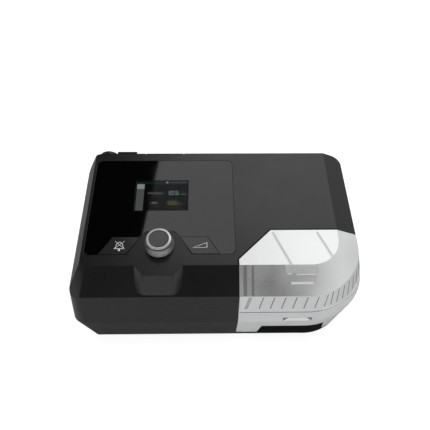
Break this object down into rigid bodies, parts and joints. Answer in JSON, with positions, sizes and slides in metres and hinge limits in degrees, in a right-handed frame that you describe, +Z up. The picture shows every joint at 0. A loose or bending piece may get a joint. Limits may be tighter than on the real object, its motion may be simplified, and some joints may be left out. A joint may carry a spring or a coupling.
{
  "type": "cpap machine",
  "caption": "Bedside sleep-therapy air machine with a sloping deck, display, push-and-turn knob, side keys and a clear slide-out water chamber.",
  "frame": {"origin": "centre of the machine's footprint box, hose port included, on the table", "axes": "+Z up, +Y to the back where the hose leaves, +X to the right seen from the front"},
  "size_m": [0.265, 0.159, 0.1139],
  "materials": {
    "housing_black": "fine satin spark texture",
    "gloss_black": "polished",
    "display_glass": "smooth, tinted",
    "key_black": "satin",
    "silver": "satin turned",
    "steel": "brushed",
    "clear_plastic": "clear, moulded",
    "silicone": "matt, translucent",
    "heater_metal": "anodised",
    "inner_plastic": "as moulded",
    "white_plastic": "as moulded",
    "port_plastic": "satin",
    "rubber": "matt",
    "foam": "open-cell foam",
    "circuit_board": "solder mask",
    "chip_black": "moulded"
  },
  "bodies": {
    "housing": {"upper_housing": "housing_black", "lower_housing": "housing_black", "glossy_panel": "gloss_black", "display_window": "display_glass", "display_module": "display_glass", "display_frame": "inner_plastic", "key_switches": "inner_plastic", "display_board": "circuit_board", "display_screws": "steel", "encoder_body": "steel", "blower_volute": "inner_plastic", "blower_cover": "inner_plastic", "blower_motor": "steel", "blower_mounts": "rubber", "inlet_seal": "silicone", "outlet_seal": "silicone", "blower_duct": "inner_plastic", "return_duct": "inner_plastic", "air_port": "port_plastic", "hose_socket": "housing_black", "filter_foam": "foam", "main_board": "circuit_board", "board_components": "chip_black", "dc_inlet": "housing_black", "rubber_feet": "rubber", "housing_screws": "steel", "board_screws": "steel", "heater_springs": "steel"},
    "rotor": {"encoder_rotor": "steel"},
    "knob": {"knob_body": "silver", "knob_insert": "gloss_black", "encoder_shaft": "steel"},
    "mute_key": {"mute_button": "key_black"},
    "ramp_key": {"ramp_button": "key_black"},
    "chamber": {"chamber_base": "clear_plastic", "chamber_plate": "steel", "chamber_seal": "silicone"},
    "lid": {"chamber_lid": "clear_plastic", "air_guide": "clear_plastic"},
    "latch": {"chamber_latch": "clear_plastic"},
    "heater": {"heater_plate": "heater_metal"},
    "filter_door": {"filter_cover": "housing_black"},
    "fan": {"impeller": "white_plastic", "motor_shaft": "steel"}
  },
  "joints": [
    {"name": "knob_turn", "type": "hinge", "parent": "housing", "child": "rotor", "pos_m": [-0.0545, -0.0382, 0.09906], "axis": [0, -0.1426, 0.9898], "continuous": true},
    {"name": "knob_push", "type": "slide", "parent": "rotor", "child": "knob", "axis": [0, 0.1426, -0.9898], "range_m": [0, 0.0005], "stiffness_N_per_m": 2000, "springref_m": -0.0005},
    {"name": "mute_press", "type": "slide", "parent": "housing", "child": "mute_key", "axis": [0, 0.1426, -0.9898], "range_m": [0, 0.0005], "stiffness_N_per_m": 2000, "springref_m": -0.0003},
    {"name": "ramp_press", "type": "slide", "parent": "housing", "child": "ramp_key", "axis": [0, 0.1426, -0.9898], "range_m": [0, 0.0005], "stiffness_N_per_m": 2000, "springref_m": -0.0003},
    {"name": "chamber_slide", "type": "slide", "parent": "housing", "child": "chamber", "axis": [0, -1, 0], "range_m": [0, 0.11]},
    {"name": "lid_lift", "type": "slide", "parent": "chamber", "child": "lid", "axis": [0, 0, 1], "range_m": [0, 0.06]},
    {"name": "latch_tilt", "type": "hinge", "parent": "chamber", "child": "latch", "pos_m": [0.0647, -0.0785, 0.0477], "axis": [-1, 0, 0], "range_deg": [0, 15], "stiffness_Nm_per_rad": 0.02},
    {"name": "heater_press", "type": "slide", "parent": "housing", "child": "heater", "axis": [0, 0, -1], "range_m": [0, 0.0012], "stiffness_N_per_m": 4000, "springref_m": -0.001, "deforming": ["heater_springs"]},
    {"name": "filter_pull", "type": "slide", "parent": "housing", "child": "filter_door", "axis": [0, 1, 0], "range_m": [0, 0.03]},
    {"name": "impeller_spin", "type": "hinge", "parent": "housing", "child": "fan", "pos_m": [-0.066, -0.0275, 0.06], "axis": [0, 0, 1], "continuous": true}
  ]
}
